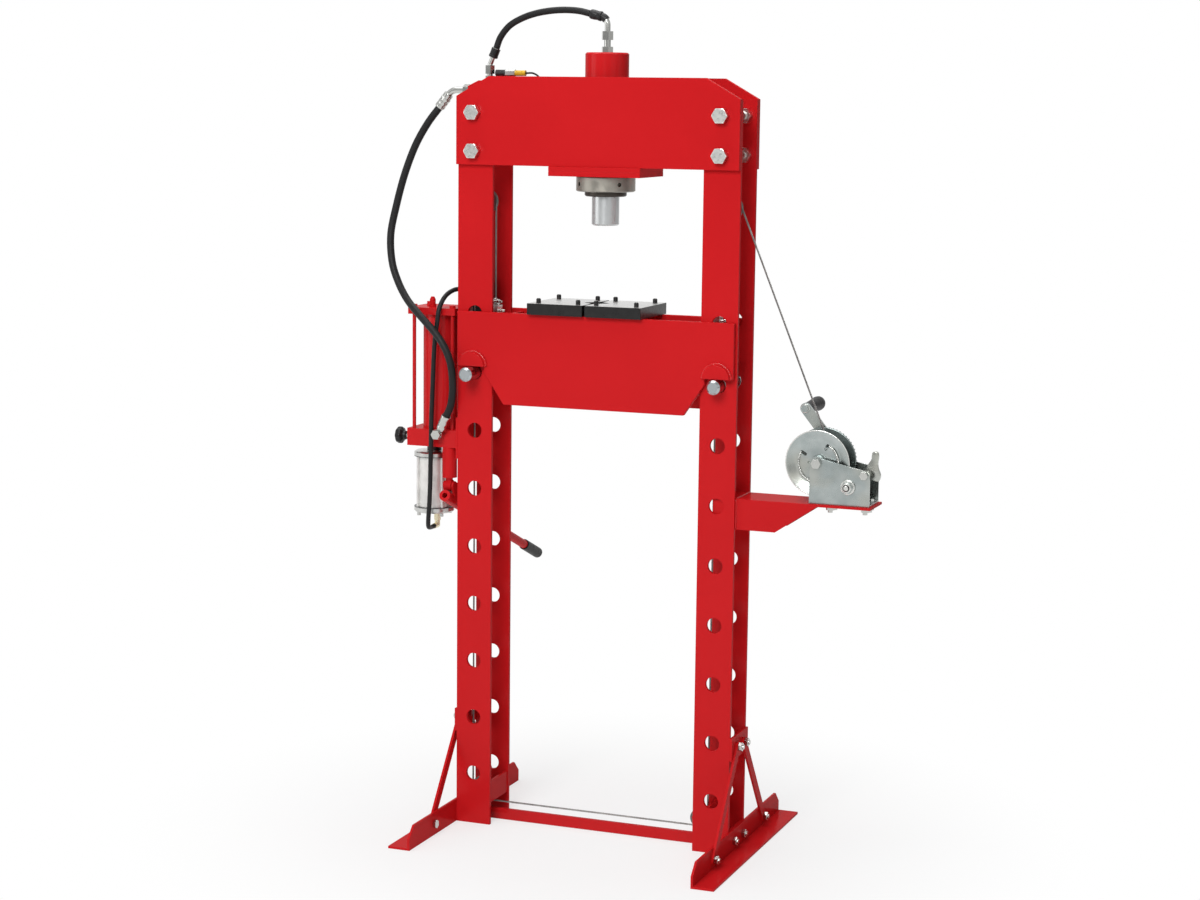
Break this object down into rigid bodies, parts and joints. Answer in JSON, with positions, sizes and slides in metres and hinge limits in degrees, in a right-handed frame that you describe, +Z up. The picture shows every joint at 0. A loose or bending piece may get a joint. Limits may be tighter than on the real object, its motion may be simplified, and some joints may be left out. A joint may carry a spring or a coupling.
{
  "type": "workshop press",
  "caption": "Red floor-standing workshop press: drilled uprights, hydraulic ram, air-driven pump, pinned bed with arbor plates and a hand winch lifting the bed by cable",
  "frame": {"origin": "On the floor, under the ram's axis, midway between the uprights and between their front and rear bars.", "axes": "X runs along the bed with the pump at -X and the winch at +X, the front is at -Y, +Z is up."},
  "size_m": [1.117, 0.7718, 1.777],
  "materials": {
    "red_paint": "glossy red paint",
    "bright_steel": "machined steel",
    "zinc_plate": "zinc plated",
    "blackened_steel": "blackened",
    "black_rubber": "matt black rubber",
    "black_plastic": "matt black plastic",
    "brass": "bright brass",
    "grey_casting": "cast and turned"
  },
  "bodies": {
    "frame": {"upright_front_left": "red_paint", "upright_rear_left": "red_paint", "upright_front_right": "red_paint", "upright_rear_right": "red_paint", "head_front": "red_paint", "head_rear": "red_paint", "head_fasteners": "zinc_plate", "ram_support_plate": "red_paint", "upright_ties": "red_paint", "feet": "red_paint", "foot_braces": "red_paint", "foot_bolts": "zinc_plate", "cross_tie": "red_paint", "ram_cylinder": "red_paint", "ring_nut": "bright_steel", "ram_gland": "blackened_steel", "manifold": "red_paint", "hydraulic_fittings": "zinc_plate", "gauge_coupler": "brass", "gauge_lead": "black_rubber", "pump_hose": "black_rubber", "ram_hose": "black_rubber", "air_hose": "black_rubber", "pump_bracket": "red_paint", "tank_plate": "red_paint", "oil_tank": "red_paint", "tank_rods": "zinc_plate", "filler_plug": "red_paint", "pump_block": "red_paint", "plunger_cylinder": "red_paint", "air_motor": "grey_casting", "air_elbow": "brass", "air_valve": "black_plastic", "winch_arm": "red_paint", "winch_frame": "zinc_plate", "winch_bolts": "zinc_plate", "lift_cable": "bright_steel", "cable_drop": "bright_steel", "pulley_axles": "zinc_plate"},
    "ram": {"ram_piston": "bright_steel"},
    "bed": {"bed_front": "red_paint", "bed_rear": "red_paint", "bed_spacers": "red_paint", "bed_clips": "zinc_plate", "arbor_left": "blackened_steel", "arbor_right": "blackened_steel"},
    "left_bed_pin": {"left_pin": "zinc_plate"},
    "right_bed_pin": {"right_pin": "zinc_plate"},
    "knob": {"release_knob": "black_plastic"},
    "lever": {"pump_lever": "red_paint", "handle_grip": "black_rubber"},
    "hand_plunger": {"plunger": "bright_steel"},
    "winch_drum": {"drum": "zinc_plate"},
    "winch_crank": {"crank": "zinc_plate"},
    "crank_handle": {"crank_grip": "black_plastic"},
    "winch_pawl": {"pawl": "zinc_plate"},
    "pulley_top_right": {"top_right_pulley": "blackened_steel"},
    "pulley_top_left": {"top_left_pulley": "blackened_steel"},
    "pulley_floor_right": {"floor_right_pulley": "blackened_steel"},
    "pulley_floor_left": {"floor_left_pulley": "blackened_steel"}
  },
  "joints": [
    {"name": "bed_lift", "type": "slide", "parent": "frame", "child": "bed", "axis": [0, 0, 1], "range_m": [0, 0.127], "deforming": ["cable_drop"]},
    {"name": "ram_stroke", "type": "slide", "parent": "frame", "child": "ram", "axis": [0, 0, 1], "range_m": [-0.15, 0], "stiffness_N_per_m": 300, "springref_m": 0.4},
    {"name": "left_pin_pull", "type": "slide", "parent": "frame", "child": "left_bed_pin", "axis": [0, -1, 0], "range_m": [0, 0.22]},
    {"name": "right_pin_pull", "type": "slide", "parent": "frame", "child": "right_bed_pin", "axis": [0, -1, 0], "range_m": [0, 0.22]},
    {"name": "pump_handle", "type": "hinge", "parent": "frame", "child": "lever", "pos_m": [-0.345, -0.005, 0.735], "axis": [1, 0, 0], "range_deg": [0, 50]},
    {"name": "release_valve", "type": "hinge", "parent": "frame", "child": "knob", "pos_m": [-0.475, 0, 0.846], "axis": [1, 0, 0], "range_deg": [0, 270]},
    {"name": "pawl_lift", "type": "hinge", "parent": "frame", "child": "winch_pawl", "pos_m": [0.587, -0.012, 0.831], "axis": [0, 1, 0], "range_deg": [0, 20], "stiffness_Nm_per_rad": 0.5},
    {"name": "crank_handle_spin", "type": "hinge", "parent": "winch_crank", "child": "crank_handle", "pos_m": [0.43371, 0.1, 0.95108], "axis": [0, 1, 0], "continuous": true},
    {"name": "drum_spin", "type": "hinge", "parent": "frame", "child": "winch_drum", "pos_m": [0.486, 0, 0.85], "axis": [0, 1, 0], "range_deg": [0, 272]},
    {"name": "crank_spin", "type": "hinge", "parent": "frame", "child": "winch_crank", "pos_m": [0.55368, 0, 0.80504], "axis": [0, 1, 0], "range_deg": [-1070, 0]},
    {"name": "top_right_pulley_spin", "type": "hinge", "parent": "frame", "child": "pulley_top_right", "pos_m": [0.276, 0, 1.366], "axis": [0, 1, 0], "range_deg": [0, 303]},
    {"name": "floor_right_pulley_spin", "type": "hinge", "parent": "frame", "child": "pulley_floor_right", "pos_m": [0.234, 0, 0.0575], "axis": [0, 1, 0], "range_deg": [-421, 0]},
    {"name": "floor_left_pulley_spin", "type": "hinge", "parent": "frame", "child": "pulley_floor_left", "pos_m": [-0.276, 0, 0.0645], "axis": [0, 1, 0], "range_deg": [-303, 0]},
    {"name": "top_left_pulley_spin", "type": "hinge", "parent": "frame", "child": "pulley_top_left", "pos_m": [-0.276, 0, 1.366], "axis": [0, 1, 0], "range_deg": [-303, 0]},
    {"name": "plunger_stroke", "type": "slide", "parent": "frame", "child": "hand_plunger", "axis": [0, 0, 1], "range_m": [-0.0256, 0]}
  ],
  "couplings": [
    {"joint": "drum_spin", "follows": "bed_lift", "rad_per_m": 36.563},
    {"joint": "crank_spin", "follows": "bed_lift", "rad_per_m": -146.25},
    {"joint": "top_right_pulley_spin", "follows": "bed_lift", "rad_per_m": 40.816},
    {"joint": "floor_right_pulley_spin", "follows": "bed_lift", "rad_per_m": -57.143},
    {"joint": "floor_left_pulley_spin", "follows": "bed_lift", "rad_per_m": -40.816},
    {"joint": "top_left_pulley_spin", "follows": "bed_lift", "rad_per_m": -40.816},
    {"joint": "plunger_stroke", "follows": "pump_handle", "m_per_rad": -0.029057}
  ]
}
